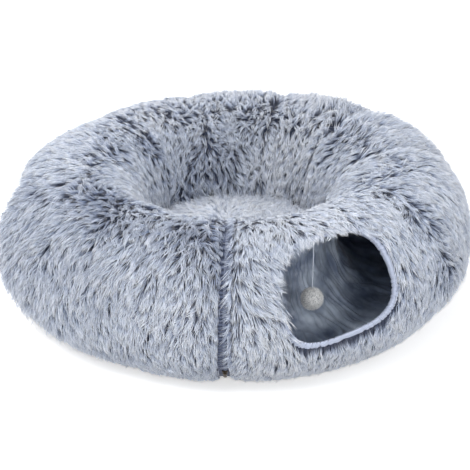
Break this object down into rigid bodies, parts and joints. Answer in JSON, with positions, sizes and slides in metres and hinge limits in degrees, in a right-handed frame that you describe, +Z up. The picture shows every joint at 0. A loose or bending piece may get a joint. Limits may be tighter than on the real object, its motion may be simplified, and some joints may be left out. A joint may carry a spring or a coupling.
{
  "type": "cat tunnel",
  "caption": "Ring-shaped cat tunnel of long-pile plush on a spring-wire coil, its ends zipped together, with two bound entrances, a hanging pompom toy and a loose round cushion in the middle",
  "frame": {"origin": "on the floor, in the middle of the ring", "axes": "+Z up, out of the open middle of the ring; the front entrance, where the pompom hangs, faces -Y; the zip is to the left of that entrance, seen from the front"},
  "size_m": [0.9131, 0.8949, 0.2841],
  "materials": {
    "long_pile_plush": "matte",
    "pale_plush": "matte",
    "lining_cloth": "satin",
    "binding_tape": "matte",
    "spring_steel": "satin",
    "zip_tape": "matte",
    "zip_plastic": "satin",
    "zip_metal": "satin",
    "elastic_cord": "matte",
    "pompom_pile": "matte",
    "grip_cloth": "matte"
  },
  "bodies": {
    "tunnel": {"cover_panel_1": "long_pile_plush", "cover_panel_2": "long_pile_plush", "cover_panel_3": "long_pile_plush", "cover_panel_4": "long_pile_plush", "cover_panel_5": "long_pile_plush", "cover_panel_6": "long_pile_plush", "cover_panel_7": "long_pile_plush", "cover_panel_8": "long_pile_plush", "cover_panel_9": "long_pile_plush", "lining": "lining_cloth", "front_entrance_binding": "binding_tape", "side_entrance_binding": "binding_tape", "spring_coil": "spring_steel", "crimp_sleeve_left": "spring_steel", "crimp_sleeve_right": "spring_steel", "zip_tape_left": "zip_tape", "zip_tape_right": "zip_tape", "zip_teeth_left": "zip_plastic", "zip_teeth_right": "zip_plastic", "zip_stop_left": "zip_metal", "zip_stop_right": "zip_metal", "zip_retainer_box": "zip_plastic", "zip_insertion_pin": "zip_plastic"},
    "slider": {"zip_slider": "zip_metal"},
    "pull_tab": {"zip_pull_tab": "zip_metal"},
    "toy_gimbal": {"toy_knot": "elastic_cord"},
    "toy": {"toy_cord": "elastic_cord", "toy_pompom": "pompom_pile"},
    "cushion": {"cushion_top": "pale_plush", "cushion_base": "grip_cloth"}
  },
  "joints": [
    {"name": "slider_travel", "type": "hinge", "parent": "tunnel", "child": "slider", "pos_m": [-0.13589, -0.27863, 0.132], "axis": [-0.8988, 0.4384, 0], "range_deg": [0, 250]},
    {"name": "tab_flip", "type": "hinge", "parent": "slider", "child": "pull_tab", "pos_m": [-0.18455, -0.37838, 0.05429], "axis": [-0.8988, 0.4384, 0], "range_deg": [0, 160]},
    {"name": "toy_swing_sideways", "type": "hinge", "parent": "tunnel", "child": "toy_gimbal", "pos_m": [-0.01241, -0.35149, 0.24988], "axis": [0, 1, 0], "range_deg": [-45, 45]},
    {"name": "toy_swing_inward", "type": "hinge", "parent": "toy_gimbal", "child": "toy", "pos_m": [-0.01241, -0.35149, 0.24988], "axis": [1, 0, 0], "range_deg": [-45, 45]},
    {"name": "cushion_lift", "type": "slide", "parent": "tunnel", "child": "cushion", "axis": [0, 0, 1], "range_m": [0, 0.3]}
  ]
}
